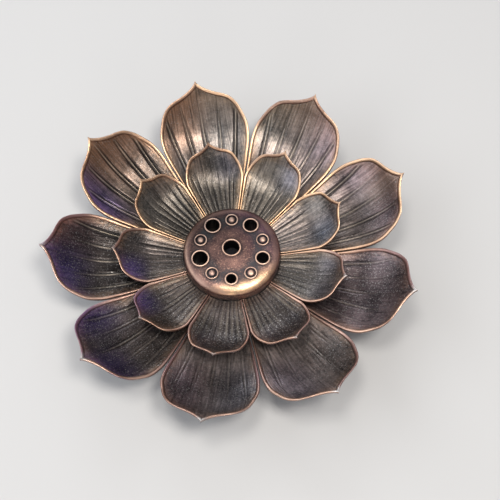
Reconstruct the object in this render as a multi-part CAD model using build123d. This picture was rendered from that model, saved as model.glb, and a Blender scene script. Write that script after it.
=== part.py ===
from build123d import *
import os
from math import cos, radians, sin, tan

# A lotus flower that holds incense sticks: two cast tiers of petals, and a pierced seed pod in the middle.
# A screw from below pulls the pod down on the inner tier, and the inner tier down on the outer one.
# All sizes are millimetres. +Z is up, the flower's axis is Z, and the foot stands on Z = 0.
# +X runs along the axis of one petal and through one stick hole of the pod.

# Whole flower
petal_count = 9
cut_overrun = 1.0
slip_clearance = 0.15

# Foot and hub of the outer tier
foot_height = 2.4
foot_outer_radius = 17.0
foot_width = 2.8
outer_hub_radius = 18.0
outer_hub_thickness = 1.6

# Petals of the outer tier
outer_root_radius = 15.0
outer_tip_radius = 47.5
outer_tip_rise = 13.5
outer_petal_width = 23.9
outer_bowl_depth = 2.3
outer_petal_wall = 1.3
outer_rim_width = 0.75
outer_rim_step = 0.35
outer_petal_slit = 0.3
outer_band_count = 6

# Hub of the inner tier
inner_hub_radius = 14.0
inner_hub_thickness = 1.9

# Petals of the inner tier
inner_root_radius = 11.6
inner_tip_radius = 30.15
inner_tip_rise = 8.4
inner_petal_width = 15.2
inner_bowl_depth = 1.6
inner_petal_wall = 1.2
inner_rim_width = 0.65
inner_rim_step = 0.3
inner_petal_slit = 0.25
inner_band_count = 6

# Seed pod
pod_diameter = 24.8
pod_height = 4.6
pod_shoulder_radius = 1.6
pod_shoulder_facets = 2
crown_diameter = 11.0
crown_rise = 0.8
spigot_diameter = 22.0
key_width = 1.6
key_height = 0.5

# Stick holes of the pod, the ring of five named by their angle from +X
hole_circle_diameter = 16.6
centre_hole_diameter = 4.0
hole_0_diameter = 3.0
hole_72_diameter = 3.25
hole_144_diameter = 3.5
hole_216_diameter = 3.75
hole_288_diameter = 2.5
hole_rim_width = 0.55
hole_rim_taper = 0.2
hole_rim_height = 0.3

# Seeds of the pod
seed_diameter = 3.4

# Lugs that keep the two tiers in line
lug_count = 2
lug_length = 2.4
lug_width = 1.5
lug_height = 0.9

# Screw and washer under the hub
screw_diameter = 3.0
screw_grip = 2.2
screw_tip_gap = 0.2
screw_head_diameter = 5.6
screw_head_height = 1.6
screw_head_chamfer = 0.5
screw_slot_width = 0.7
screw_slot_length = 3.2
screw_slot_depth = 0.9
centre_web = 0.6
washer_diameter = 9.0
washer_thickness = 0.5

# Middle line of a petal from root to tip, as shares of its length and its rise
outer_profile_shares = (
    (0.0, -0.065),
    (0.215, 0.045),
    (0.462, 0.119),
    (0.569, 0.181),
    (0.662, 0.275),
    (0.738, 0.396),
    (0.809, 0.533),
    (0.892, 0.752),
    (1.0, 1.0),
)
inner_profile_shares = (
    (0.0, 0.0),
    (0.291, 0.082),
    (0.453, 0.132),
    (0.561, 0.193),
    (0.668, 0.306),
    (0.76, 0.45),
    (0.83, 0.588),
    (0.906, 0.8),
    (1.0, 1.0),
)

# Outline of a petal from root to tip, as shares of its length and its half width
outer_outline_shares = (
    (0.0, 0.45),
    (0.215, 0.662),
    (0.462, 0.902),
    (0.569, 0.982),
    (0.662, 1.0),
    (0.738, 0.945),
    (0.809, 0.857),
    (0.862, 0.72),
    (0.892, 0.552),
    (0.917, 0.352),
    (0.95, 0.19),
    (1.0, 0.03),
)
inner_outline_shares = (
    (0.0, 0.56),
    (0.291, 0.81),
    (0.453, 0.955),
    (0.561, 1.0),
    (0.668, 0.975),
    (0.76, 0.895),
    (0.83, 0.785),
    (0.873, 0.625),
    (0.906, 0.375),
    (0.949, 0.17),
    (1.0, 0.035),
)
back_shares = (1.0, 0.35, -0.35, -1.0)

# Places that follow from the stack of pieces
outer_hub_top = foot_height + outer_hub_thickness
inner_hub_top = outer_hub_top + inner_hub_thickness
pod_ring_height = inner_hub_top + pod_height
crown_top = pod_ring_height + crown_rise
spigot_bottom = outer_hub_top + slip_clearance
screw_tip = spigot_bottom + screw_grip
tapped_top = screw_tip + screw_tip_gap
centre_hole_floor = tapped_top + centre_web
screw_clear_diameter = screw_diameter + 2 * slip_clearance
washer_bottom = foot_height - washer_thickness
screw_head_bottom = washer_bottom - screw_head_height
ring_hole_diameters = (
    hole_0_diameter,
    hole_72_diameter,
    hole_144_diameter,
    hole_216_diameter,
    hole_288_diameter,
)
ring_step = 360 / len(ring_hole_diameters)
half_sector = 180 / petal_count
on_base = (Align.CENTER, Align.CENTER, Align.MIN)


def drum(diameter, low, high):
    """A round bar on the flower's axis between two heights."""
    return Pos(0, 0, low) * Cylinder(diameter / 2, high - low, align=on_base)


def around(angle, radius=0):
    """The place at a radius and an angle about the flower's axis."""
    return Rot(0, 0, angle) * Pos(radius, 0, 0)


def petal_outline(root, tip, width, slit, outline_shares):
    """The plan of a petal along +X. Next to its neighbours it keeps to its own sector."""
    half_slit = slit / 2 / cos(radians(half_sector))
    side = []
    for along, share in outline_shares:
        x = root + (tip - root) * along
        side.append((x, min(width / 2 * share, x * tan(radians(half_sector)) - half_slit)))
    return make_face(Polyline(*side, *((x, -y) for x, y in reversed(side)), close=True))


def dished_plate(middle_line, width, depth, low, high, bands):
    """A plate whose dished section, in flat bands, moves along the middle line without turning."""
    half = width / 2
    reach = half + cut_overrun
    edges = [half * (2 * i / bands - 1) for i in range(1, bands)]
    sections = []
    for x, z in middle_line:
        top = [(x, y, z + depth * (y / half) ** 2 + high) for y in (-reach, *edges, reach)]
        back = [(x, reach * share, z + depth * (reach * share / half) ** 2 + low) for share in back_shares]
        sections.append(Wire(Polyline(*top, *back, close=True).edges()))
    return Solid.make_loft(sections, ruled=True)


def petal(root, tip, base, rise, width, depth, wall, rim, step, slit, bands, profile_shares, outline_shares):
    """A petal along +X: a dished plate cut to its outline, with the floor sunk inside a rim."""
    middle_line = [(root + (tip - root) * along, base + rise * share) for along, share in profile_shares]
    outline = petal_outline(root, tip, width, slit, outline_shares)
    inset = offset(outline, -rim, kind=Kind.INTERSECTION)
    height = base + rise + depth + cut_overrun
    plate = dished_plate(middle_line, width, depth, -wall, step, bands)
    above_floor = dished_plate(middle_line, width, depth, 0, height, bands)
    blank = plate & extrude(outline, height)
    return blank - (above_floor & extrude(inset, 2 * height))


def ring_of(solid, count):
    """Copies of a solid, evenly spaced about the flower's axis."""
    return [Rot(0, 0, 360 / count * i) * solid for i in range(count)]


def lugs(room):
    """The lugs under the inner hub's ring, between petals, or with room added the pockets for them."""
    radius = (inner_hub_radius + spigot_diameter / 2 + slip_clearance) / 2
    lug = Pos(radius, 0, outer_hub_top) * Box(
        lug_width + 2 * room,
        lug_length + 2 * room,
        2 * (lug_height + room),
    )
    return [around(half_sector) * copy for copy in ring_of(lug, lug_count)]


def make_outer_tier():
    """The large petals on a flat hub that stands on a ring foot."""
    large_petal = petal(
        outer_root_radius,
        outer_tip_radius,
        outer_hub_top,
        outer_tip_rise,
        outer_petal_width,
        outer_bowl_depth,
        outer_petal_wall,
        outer_rim_width,
        outer_rim_step,
        outer_petal_slit,
        outer_band_count,
        outer_profile_shares,
        outer_outline_shares,
    )
    hub = drum(outer_hub_radius * 2, foot_height, outer_hub_top)
    foot = drum(foot_outer_radius * 2, 0, foot_height)
    foot -= drum((foot_outer_radius - foot_width) * 2, -cut_overrun, foot_height)
    tier = hub + foot + ring_of(large_petal, petal_count)
    tier -= drum(screw_clear_diameter, -cut_overrun, outer_hub_top + cut_overrun)
    return tier - lugs(slip_clearance)


def make_inner_tier():
    """The small petals on a ring that the pod's spigot fills, with a seat for the pod's rim."""
    small_petal = petal(
        inner_root_radius,
        inner_tip_radius,
        inner_hub_top,
        inner_tip_rise,
        inner_petal_width,
        inner_bowl_depth,
        inner_petal_wall,
        inner_rim_width,
        inner_rim_step,
        inner_petal_slit,
        inner_band_count,
        inner_profile_shares,
        inner_outline_shares,
    )
    hub = drum(inner_hub_radius * 2, outer_hub_top, inner_hub_top)
    tier = hub + ring_of(small_petal, petal_count)
    tier -= drum(pod_diameter + 2 * slip_clearance, inner_hub_top, crown_top)
    tier -= drum(
        spigot_diameter + 2 * slip_clearance,
        outer_hub_top - cut_overrun,
        inner_hub_top + cut_overrun,
    )
    notch = Pos(spigot_diameter / 2, 0, outer_hub_top - cut_overrun) * Box(
        2 * (key_height + slip_clearance),
        key_width + 2 * slip_clearance,
        inner_hub_thickness + 2 * cut_overrun,
        align=on_base,
    )
    return tier - notch + lugs(0)


def pod_body():
    """The pod turned about its axis: spigot, wall, rolled shoulder, flat ring and low crown."""
    pod_radius = pod_diameter / 2
    crown_top_radius = centre_hole_diameter / 2 + hole_rim_width
    turns = [90 / pod_shoulder_facets * i for i in range(pod_shoulder_facets + 1)]
    shoulder = [
        (
            pod_radius - pod_shoulder_radius * (1 - cos(radians(turn))),
            pod_ring_height - pod_shoulder_radius * (1 - sin(radians(turn))),
        )
        for turn in turns
    ]
    outline = Polyline(
        (0, spigot_bottom),
        (spigot_diameter / 2, spigot_bottom),
        (spigot_diameter / 2, inner_hub_top),
        (pod_radius, inner_hub_top),
        *shoulder,
        (crown_diameter / 2, pod_ring_height),
        (crown_top_radius, crown_top),
        (0, crown_top),
        close=True,
    )
    return revolve(Plane.XZ * make_face(outline), Axis.Z)


def raised_ring(diameter, base):
    """A low ring that tapers to its top, rooted as deep in the pod as it stands above it."""
    return Pos(0, 0, base - hole_rim_height) * Cone(
        diameter / 2 + hole_rim_taper,
        diameter / 2 - hole_rim_taper,
        2 * hole_rim_height,
        align=on_base,
    )


def make_seed_pod():
    """The pod with its six stick holes, the raised rings round them and five blind seeds between."""
    pod = pod_body()
    places = [around(ring_step * i, hole_circle_diameter / 2) for i in range(len(ring_hole_diameters))]
    for place, diameter in zip(places, ring_hole_diameters):
        pod += place * raised_ring(diameter + 2 * hole_rim_width, pod_ring_height)
        pod -= place * drum(diameter, spigot_bottom - cut_overrun, crown_top + cut_overrun)
    pod += raised_ring(centre_hole_diameter + 2 * hole_rim_width, crown_top)
    pod -= drum(centre_hole_diameter, centre_hole_floor, crown_top + 2 * hole_rim_height)
    for place in places:
        pod += around(ring_step / 2) * place * raised_ring(seed_diameter, pod_ring_height)
    pod -= drum(screw_clear_diameter, spigot_bottom - cut_overrun, tapped_top)
    key = Pos(spigot_diameter / 2, 0, spigot_bottom) * Box(
        2 * key_height, key_width, inner_hub_top - spigot_bottom, align=on_base
    )
    return pod + key


def make_fixing_screw():
    """A pan-head screw with a crossed slot, head down under the washer."""
    head = drum(screw_head_diameter, screw_head_bottom, washer_bottom)
    head = chamfer(head.edges().sort_by(Axis.Z)[0], screw_head_chamfer)
    slot = Pos(0, 0, screw_head_bottom) * Box(screw_slot_length, screw_slot_width, 2 * screw_slot_depth)
    head -= [slot, Rot(0, 0, 90) * slot]
    return head + drum(screw_diameter, washer_bottom, screw_tip)


def make_screw_washer():
    """A flat washer that spreads the screw's pull over the hub."""
    disc = drum(washer_diameter, washer_bottom, foot_height)
    return disc - drum(screw_clear_diameter, 0, outer_hub_top)


pieces = {
    "outer_petal_tier": make_outer_tier(),
    "inner_petal_tier": make_inner_tier(),
    "seed_pod": make_seed_pod(),
    "fixing_screw": make_fixing_screw(),
    "screw_washer": make_screw_washer(),
}
os.makedirs("parts", exist_ok=True)
for node, solid in pieces.items():
    export_step(solid, f"parts/{node}.step")
    print(node, "volume", round(solid.volume), "faces", len(solid.faces()))
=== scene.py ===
# %% [markdown]
# # A lotus flower that holds incense sticks
# The object is a small cast flower in antiqued copper: a large tier of nine petals, a small tier of nine
# petals on top of it, and a round seed pod in the middle with holes for the sticks. The construction model
# is loaded first and stays fixed. Every finished surface is then built around it, in the same place and
# size.

import math

import bmesh
import bpy
import numpy as np
from mathutils import Matrix, Vector
from mathutils.geometry import delaunay_2d_cdt


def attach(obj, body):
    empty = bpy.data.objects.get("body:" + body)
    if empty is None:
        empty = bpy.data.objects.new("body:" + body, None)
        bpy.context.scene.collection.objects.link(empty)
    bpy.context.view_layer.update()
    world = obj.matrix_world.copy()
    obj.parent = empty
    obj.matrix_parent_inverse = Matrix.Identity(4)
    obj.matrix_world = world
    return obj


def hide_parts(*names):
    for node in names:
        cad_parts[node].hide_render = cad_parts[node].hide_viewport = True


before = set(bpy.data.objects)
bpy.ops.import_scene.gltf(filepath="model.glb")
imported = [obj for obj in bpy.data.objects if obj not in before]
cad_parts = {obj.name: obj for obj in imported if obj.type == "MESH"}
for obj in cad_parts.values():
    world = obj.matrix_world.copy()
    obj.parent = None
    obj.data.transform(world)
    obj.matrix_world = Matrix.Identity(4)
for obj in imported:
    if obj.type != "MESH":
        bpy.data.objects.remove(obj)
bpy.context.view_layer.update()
print("nodes", sorted(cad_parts))

# %% [markdown]
# Blender works in metres, but a flower this small is easier to think about in millimetres. All shapes below
# are worked out in millimetres, and one factor turns them into metres when a mesh is made.

# %% Units and counts
MM = 0.001
TINY = 1e-6
PETALS = 9
SECTOR = math.radians(180 / PETALS)
SPREAD = math.tan(SECTOR)
print("half of a petal's sector:", round(math.degrees(SECTOR), 1), "degrees")

# %% [markdown]
# ## Smooth lines
# A petal's outline and its middle line are soft curves. Each is a few listed points with a Catmull-Rom
# curve run through them, which needs no handles. Helpers for soft masks and heights follow.

# %% A curve through points
CURVE_SAMPLES = 40


def mixed(at, start, end, first, last):
    """Two points mixed, the first at the start and the last at the end."""
    return ((end - at) * first + (at - start) * last) / (end - start)


def smooth_line(points, count):
    """Samples, evenly spaced along a soft curve that goes through the points."""
    inner = np.array(points, float)
    knots = np.vstack([2 * inner[0] - inner[1], inner, 2 * inner[-1] - inner[-2]])
    gaps = np.linalg.norm(np.diff(knots, axis=0), axis=1) ** 0.5
    t = np.concatenate([[0], np.cumsum(gaps)])
    dense = []
    for i in range(1, len(knots) - 2):
        s = np.linspace(t[i], t[i + 1], CURVE_SAMPLES, endpoint=False)[:, None]
        a = [mixed(s, t[j], t[j + 1], knots[j], knots[j + 1]) for j in (i - 1, i, i + 1)]
        b = [mixed(s, t[i - 1 + k], t[i + 1 + k], a[k], a[k + 1]) for k in (0, 1)]
        dense.append(mixed(s, t[i], t[i + 1], b[0], b[1]))
    dense = np.vstack(dense + [inner[-1:]])
    length = np.concatenate([[0], np.cumsum(np.linalg.norm(np.diff(dense, axis=0), axis=1))])
    even = np.linspace(0, length[-1], count)
    return np.column_stack([np.interp(even, length, dense[:, k]) for k in range(dense.shape[1])])


def ease(value, low, high):
    """0 below low, 1 above high, and a soft step between them."""
    t = np.clip((value - low) / (high - low), 0, 1)
    return t * t * (3 - 2 * t)


def hump(value, width):
    """A soft bump of height 1 about zero."""
    return np.exp(-((value / width) ** 2))


def at_least(least, value):
    """A value drawn in towards 1, so that 0 becomes the least value."""
    return least + (1 - least) * value


print("curve test:", smooth_line([(0, 0), (1, 1), (2, 0)], 5)[2].round(2))

# %% [markdown]
# ## The two kinds of petal
# Both tiers have the same kind of petal: a dished spoon with a raised round rim that rises to a pointed
# tip. The sizes are those of the construction model. The large petals carry five veins, each a pair of
# grooves with a fine ridge between them. The small ones have soft flutes. Veins run along lines through the
# flower's centre, so their places are shares of the petal's sector.

# %% Sizes of the petals
large = {
    "root": 15.0, "tip": 47.5, "base": 4.0, "rise": 13.5, "half_width": 11.95, "dish": 2.3, "wall": 1.3,
    "rim": 0.86, "rim_height": 0.35, "slit": 0.3, "rows": 92, "seat": None,
    "profile_shares": [
        (0.0, -0.065), (0.215, 0.045), (0.338, 0.078), (0.462, 0.119), (0.569, 0.181), (0.662, 0.275),
        (0.738, 0.396), (0.809, 0.533), (0.862, 0.665), (0.917, 0.82), (1.0, 1.0),
    ],
    "outline_shares": [
        (0.0, 0.45), (0.215, 0.662), (0.462, 0.902), (0.569, 0.982), (0.662, 1.0), (0.738, 0.945),
        (0.809, 0.857), (0.862, 0.72), (0.892, 0.552), (0.917, 0.36), (0.945, 0.19), (0.972, 0.075),
        (0.99, 0.02), (1.0, 0.0),
    ],
    "vein_shares": [0.0, 0.325, 0.65], "vein_end_shares": (0.7, 1.02), "vein_loose": 0.0, "vein_least": 0.6,
    "vein_gap": 0.46, "vein_width": 0.25, "vein_depth": 0.27, "ridge_height": 0.06, "flute": 0.0,
    "column_marks": (0, 0.5, 0.95, 1.4, 2.1),
}
small = {
    "root": 12.58, "tip": 30.15, "base": 5.9, "rise": 8.4, "half_width": 7.6, "dish": 1.6, "wall": 1.2,
    "rim": 0.74, "rim_height": 0.3, "slit": 0.25, "rows": 76, "seat": 12.42,
    "profile_shares": [
        (0.0, 0.015), (0.25, 0.082), (0.421, 0.132), (0.535, 0.193), (0.648, 0.306), (0.746, 0.45),
        (0.82, 0.588), (0.866, 0.7), (0.91, 0.815), (1.0, 1.0),
    ],
    "outline_shares": [
        (0.0, 0.585), (0.25, 0.81), (0.421, 0.955), (0.535, 1.0), (0.648, 0.975), (0.746, 0.895),
        (0.82, 0.785), (0.866, 0.625), (0.901, 0.38), (0.94, 0.175), (0.97, 0.065), (0.99, 0.017),
        (1.0, 0.0),
    ],
    "vein_shares": [0.1, 0.29, 0.49, 0.68, 0.85], "vein_end_shares": (0.4, 0.9),
    "vein_loose": 0.045, "vein_least": 0.25,
    "vein_gap": 0.0, "vein_width": 0.14, "vein_depth": 0.13, "ridge_height": 0.0, "flute": 0.035,
    "column_marks": (0, 0.6, 1.2, 2.0),
}
print("tip circles:", 2 * large["tip"], "and", 2 * small["tip"], "mm across")

# %% [markdown]
# ## The face of a petal
# The face is one height for every place in plan: the middle line's rise, plus the dish across it, plus the
# veins. The dish is mostly flat bands between the veins, because on the object each band catches the light
# by itself. Writing the face as a function keeps the rim, the floor and the back in step.

# %% Height of the face
MIDDLE_SAMPLES = 400
FLAT_SHARE, HOLLOW_SHARE = 0.8, 0.2
OUTER_BANDS = [0.9, 1.1]


def along_share(petal, x):
    """How far a place lies from root to tip, as a share of the petal's length."""
    return (x - petal["root"]) / (petal["tip"] - petal["root"])


def middle_height(petal, x):
    """Height of the petal's middle line at a distance from the flower's axis."""
    length = petal["tip"] - petal["root"]
    shares = petal["profile_shares"]
    points = [(petal["root"] + length * a, petal["base"] + petal["rise"] * b) for a, b in shares]
    line = smooth_line(points, MIDDLE_SAMPLES)
    return np.interp(x, line[:, 0], line[:, 1])


def dish_height(petal, x, y):
    """Height of the hollow across the petal, mostly in flat bands."""
    edges = np.array([0.0] + [share for share in petal["vein_shares"] if share > 0] + OUTER_BANDS)
    reach = SPREAD * x
    share = y / np.maximum(reach, TINY)
    flat = np.interp(share, edges, edges**2) * reach**2
    return petal["dish"] / petal["half_width"] ** 2 * (FLAT_SHARE * flat + HOLLOW_SHARE * y**2)


def face_height(petal, x, y):
    """Height of the face without its veins."""
    return middle_height(petal, x) + dish_height(petal, x, y)


at_x, at_y = np.array([30.0]), np.array([0.45])
print("face at 30 mm:", face_height(large, at_x, at_y).round(2), "mm")

# %% [markdown]
# Veins are carved by hand, so each differs a little in strength, and on the small petals in place. A fixed
# seed makes these chances come out the same every time. Veins get finer towards their ends, and weak ones
# end sooner. Between the veins of a small petal the face swells into flutes, and a painted highlight runs
# along each crest.

# %% Veins
MOST_STRENGTH = 1.1
RIDGE_WIDTH = 0.15
FADE_START_LEAST, FADE_END_LEAST = 0.5, 0.7
GAP_LEAST, WIDTH_LEAST = 0.45, 0.6
LAST_FLUTE_END, LAST_SHARE = 1.05, 1.04
CREST_POWER, CREST_FADE, LAST_CREST = 8, (0.2, 0.75), 0.5


def carved_veins(petal, seed, share_of_depth=1.0):
    """Each vein of one half petal with its place and strength."""
    chance = np.random.default_rng(seed)
    loose, least = petal["vein_loose"], petal["vein_least"]
    return [
        (share + loose * chance.uniform(-1, 1), share_of_depth * chance.uniform(least, MOST_STRENGTH))
        for share in petal["vein_shares"]
    ]


def flutes(petal, veins, along, share):
    """Height of the flutes between the veins, and the painted highlight along their crests."""
    left = 1 - ease(along, *petal["vein_end_shares"])
    edges = np.array([-veins[0][0]] + [place for place, _ in veins] + [LAST_FLUTE_END])
    share = np.clip(share, 0, LAST_SHARE)
    band = np.searchsorted(edges, share, side="right")
    low, high = edges[band - 1], edges[band]
    crest = np.sin(math.pi * (share - low) / (high - low))
    shine = np.array([strength for _, strength in veins] + [LAST_CREST])[band - 1]
    # The crest mark is a painted highlight: a narrow bright line at each crest, fading towards the tip.
    return petal["flute"] * left * crest, crest**CREST_POWER * shine * (1 - ease(along, *CREST_FADE))


def vein_marks(petal, veins, x, y):
    """Height of the veins, and masks of their grooves and of their ridges and crests, which carry a painted
    highlight.
    """
    along = along_share(petal, x)
    start, end = petal["vein_end_shares"]
    height, groove, ridge = (np.zeros_like(x) for _ in range(3))
    for share, strength in veins:
        fade_start = start * at_least(FADE_START_LEAST, strength)
        left = 1 - ease(along, fade_start, end * at_least(FADE_END_LEAST, strength))
        off = y - share * SPREAD * x
        gap = petal["vein_gap"] * at_least(GAP_LEAST, left)
        width = petal["vein_width"] * at_least(WIDTH_LEAST, left)
        cut = np.maximum(hump(off - gap, width), hump(off + gap, width))
        groove = np.maximum(groove, cut * left * strength)
        if petal["vein_gap"]:
            ridge = np.maximum(ridge, hump(off, RIDGE_WIDTH) * left * strength)
    if petal["flute"]:
        height, ridge = flutes(petal, veins, along, y / np.maximum(SPREAD * x, TINY))
    height = height - petal["vein_depth"] * groove + petal["ridge_height"] * ridge
    return height, np.clip(groove, 0, 1), np.clip(ridge, 0, 1)


print("groove there:", vein_marks(large, carved_veins(large, 1), at_x, at_y)[0].round(2), "mm")

# %% [markdown]
# ## The skin of half a petal
# A petal is mirrored about its middle, so half of it is enough. The skin is a grid. Its rows start at
# points along the outline. Its columns run across: the floor first, then over the round rim, down the edge
# and back under the petal. Floor columns follow the veins, so grooves stay sharp. Near the tip, where the
# rims of both halves meet, the columns are held on the middle line, which gives the neat mitre of the tips.

# %% Outline of half a petal
FAN_RADIUS_SHARE = 0.6
FAN_END = 1.2
COLUMN_STEP, COLUMN_GAP = 0.055, 0.006


def half_outline(petal):
    """Samples of the outline from root to tip, with the direction that points into the petal."""
    length = petal["tip"] - petal["root"]
    points = [(petal["root"] + length * a, petal["half_width"] * w) for a, w in petal["outline_shares"]]
    line = smooth_line(points, petal["rows"])
    limit = line[:, 0] * SPREAD - petal["slit"] / 2 / math.cos(SECTOR)
    line[:, 1] = np.clip(line[:, 1], 0, limit)
    run = np.gradient(line, axis=0)
    run /= np.linalg.norm(run, axis=1)[:, None]
    return line, np.column_stack([run[:, 1], -run[:, 0]])


def floor_shares(petal, veins):
    """Places of the floor's columns, as shares of the sector, close together at each vein."""
    at_radius = SPREAD * (FAN_RADIUS_SHARE * petal["tip"])
    gap, width = petal["vein_gap"], petal["vein_width"]
    offsets = {0.0} | {gap + side * width * m for m in petal["column_marks"] for side in (-1, 1)}
    shares = {0.0, FAN_END}
    for vein, _ in veins:
        shares |= {vein + side * off / at_radius for off in offsets for side in (-1, 1)}
    ends = sorted(share for share in shares if share >= 0)
    filled = []
    for low, high in zip(ends, ends[1:]):
        parts = max(1, round((min(high, 1.0) - low) / COLUMN_STEP)) if low < 1 else 1
        filled += [low + (high - low) * k / parts for k in range(parts)]
    kept = [0.0]
    for share in filled + [FAN_END]:
        if share - kept[-1] > COLUMN_GAP:
            kept.append(share)
    return np.array(kept)


for petal in (large, small):
    print("floor columns:", len(floor_shares(petal, carved_veins(petal, 1))))

# %% [markdown]
# The rim is a half-round bead. Its columns are set at distances inside the outline, measured square to it,
# so the bead keeps its width where the petal climbs steeply. Towards the root it gets finer, and at the tip
# the two rims run together into one point. The small petals end at the root on a circle, just clear of the
# pod's wall.

# %% Rim and root
FINE_RIM_SHARE, FINE_RIM_REACH = 0.55, (0.15, 0.5)
SLOPE_POWER = 0.3
ROOT_BLEND = 4.0


def to_middle(line, inward):
    """Distance from each point of the outline to the petal's middle line, measured inward."""
    return line[:, 1] / np.maximum(-inward[:, 1], TINY)


def held_inside(line, inward, distance):
    """Points at a distance inside the outline, held on the petal's middle line."""
    used = np.minimum(distance, to_middle(line, inward))
    return line + inward * used[:, None], used


def bead_width(petal, line, inward):
    """Width of the rim in plan for every row, so that its true width stays even on the slope."""
    slope = np.gradient(middle_height(petal, line[:, 0]), line[:, 0])
    taper = at_least(FINE_RIM_SHARE, ease(along_share(petal, line[:, 0]), *FINE_RIM_REACH))
    width = petal["rim"] * taper / (1 + (slope * inward[:, 0]) ** 2) ** SLOPE_POWER
    return np.minimum(width, 2 * to_middle(line, inward) + TINY)


def to_round_root(petal, x, y):
    """Draws the root of a petal in to a circle about the flower's axis."""
    if petal["seat"] is None:
        return x, y
    turn = np.arctan2(y, x)
    still = 1 - ease(x, petal["seat"], petal["seat"] + ROOT_BLEND)
    radius = np.hypot(x, y) - (petal["root"] / np.cos(turn) - petal["seat"]) * still
    return radius * np.cos(turn), radius * np.sin(turn)


line, inward = half_outline(large)
print("rim of a large petal, root to tip:", bead_width(large, line, inward)[::18].round(2))

# %% [markdown]
# The floor's columns fan out with the veins and stop a little before the rim. A few more follow the rim,
# where the floor dips and the veins fade out. Each point also gets marks for the finish: how much it
# belongs to the rim, a groove or a ridge with its painted highlight, how far along the petal it lies, and
# how near the rim. The groove mark also holds painted shade, a dark line just inside the rim.

# %% Floor of half a petal
FAN_STOP = 0.6
NEAR_RIM = (0.45, 0.3, 0.18, 0.08, 0.0)
LEAST_SQUARE = 0.05
VEINS_CLEAR = (0.05, 0.7)
DIP_DEPTH, DIP_WIDTH = 0.03, 0.12
RIM_SHADE, RIM_SHADE_WIDTH = 0.12, 0.28
BRIM_WIDTH = 1.1


def floor_columns(petal, veins, inset, inward, reach):
    """Columns of the floor, from the petal's middle to the rim."""
    square = np.maximum(np.abs(inward[:, 1]), LEAST_SQUARE)
    stop = inset[:, 1] - FAN_STOP / square
    fan = [np.minimum(share * SPREAD * inset[:, 0], stop) for share in floor_shares(petal, veins)]
    near = [inset[:, 1] - distance / square for distance in NEAR_RIM]
    rim_y = to_round_root(petal, *inset.T)[1]
    columns = []
    for floor_y in fan + near:
        x, y = to_round_root(petal, inset[:, 0], np.maximum(floor_y, 0))
        from_rim = (rim_y - y) * square
        height, groove, ridge = vein_marks(petal, veins, x, y)
        clear = ease(from_rim, *VEINS_CLEAR)
        z = face_height(petal, x, y) + height * clear
        z = z - DIP_DEPTH * hump(from_rim - DIP_WIDTH, DIP_WIDTH)
        # Painted shade: a dark line just inside the rim joins the groove mark.
        dark = np.maximum(groove * clear, RIM_SHADE * hump(from_rim, RIM_SHADE_WIDTH))
        columns.append((x, y, z, 0 * x, dark, ridge * clear, reach, hump(from_rim, BRIM_WIDTH)))
    return columns


print("columns that follow the rim:", len(NEAR_RIM))

# %% [markdown]
# The bead is a half circle in section. Its crown is worn most. From there the skin runs down the edge,
# which is a little thinner than the wall, and back under the petal to its middle.

# %% Rim, edge and back of half a petal
BEAD_TURNS = np.radians([22, 45, 68, 90, 112, 135, 158, 180])
LEAST_BEAD, BEAD_CROWN = 1e-3, 0.5
FOOT_WEAR = 0.4
INNER_LOSS, INNER_SIDE = 0.25, (0.6, 1.0)
EDGE_SHARE = 0.8
EDGE_ROLL = ((0, 0.3, 0.3), (0.05, 0.75, 0.15), (0.25, 1.0, 0.0))
EDGE_BRIM = 0.5
BACK_SHARES = (0.8, 0.55, 0.28, 0.0)
BACK_FILM = 0.3
BACK_BLEND = 2.0


def bead_columns(petal, line, inward, width, reach):
    """Columns over the half-round rim."""
    columns = []
    for turn in BEAD_TURNS:
        inside = (1 + math.cos(turn)) / 2
        points, used = held_inside(line, inward, width * inside)
        x, y = to_round_root(petal, *points.T)
        share = np.where(width > LEAST_BEAD, used / width, min(BEAD_CROWN, inside))
        across = np.clip(1 - (2 * share - 1) ** 2, 0, 1)
        z = face_height(petal, x, y) + petal["rim_height"] * np.sqrt(across)
        worn = at_least(FOOT_WEAR, across) * (1 - INNER_LOSS * ease(share, *INNER_SIDE))
        columns.append((x, y, z, worn, 0 * x, 0 * x, reach, 1 + 0 * x))
    return columns


def back_columns(petal, line, inward, reach):
    """Columns down the edge and back under the petal."""
    columns = []
    edge = EDGE_SHARE * petal["wall"]
    for distance, drop, worn in EDGE_ROLL:
        points, _ = held_inside(line, inward, distance)
        x, y = to_round_root(petal, *points.T)
        z = face_height(petal, x, y) - edge * drop
        columns.append((x, y, z, worn + 0 * x, BACK_FILM + 0 * x, 0 * x, reach, EDGE_BRIM + 0 * x))
    for share in BACK_SHARES:
        x, y = to_round_root(petal, points[:, 0], points[:, 1] * share)
        thick = edge + (petal["wall"] - edge) * ease(points[:, 1] * (1 - share), 0, BACK_BLEND)
        z = face_height(petal, x, y) - thick
        columns.append((x, y, z, 0 * x, BACK_FILM + 0 * x, 0 * x, reach, 0 * x))
    return columns


def half_petal(petal, veins):
    """Rows and columns of points with their marks: x, y, z, rim, groove, ridge and highlight, reach, brim.
    """
    line, inward = half_outline(petal)
    reach = along_share(petal, line[:, 0])
    width = bead_width(petal, line, inward)
    inset, _ = held_inside(line, inward, width)
    columns = floor_columns(petal, veins, inset, inward, reach)
    columns += bead_columns(petal, line, inward, width, reach)
    columns += back_columns(petal, line, inward, reach)
    return np.array(columns).transpose(2, 0, 1)


print("half of a large petal:", half_petal(large, carved_veins(large, 1)).shape)

# %% [markdown]
# ## From points to pieces
# The half petal will be mirrored and copied nine times about the axis. Points that fall together are
# welded, so that each petal is one closed skin. The marks travel with the points as mesh attributes.

# %% Points and faces
MARKS = (
    "rim", "groove", "ridge", "reach", "brim", "along", "across", "petal",
    "dull_and_shade", "film_and_light_level", "red", "green", "blue",
)
COLUMN = {name: 3 + k for k, name in enumerate(MARKS)}
WELD_DIGITS = 4


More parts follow.
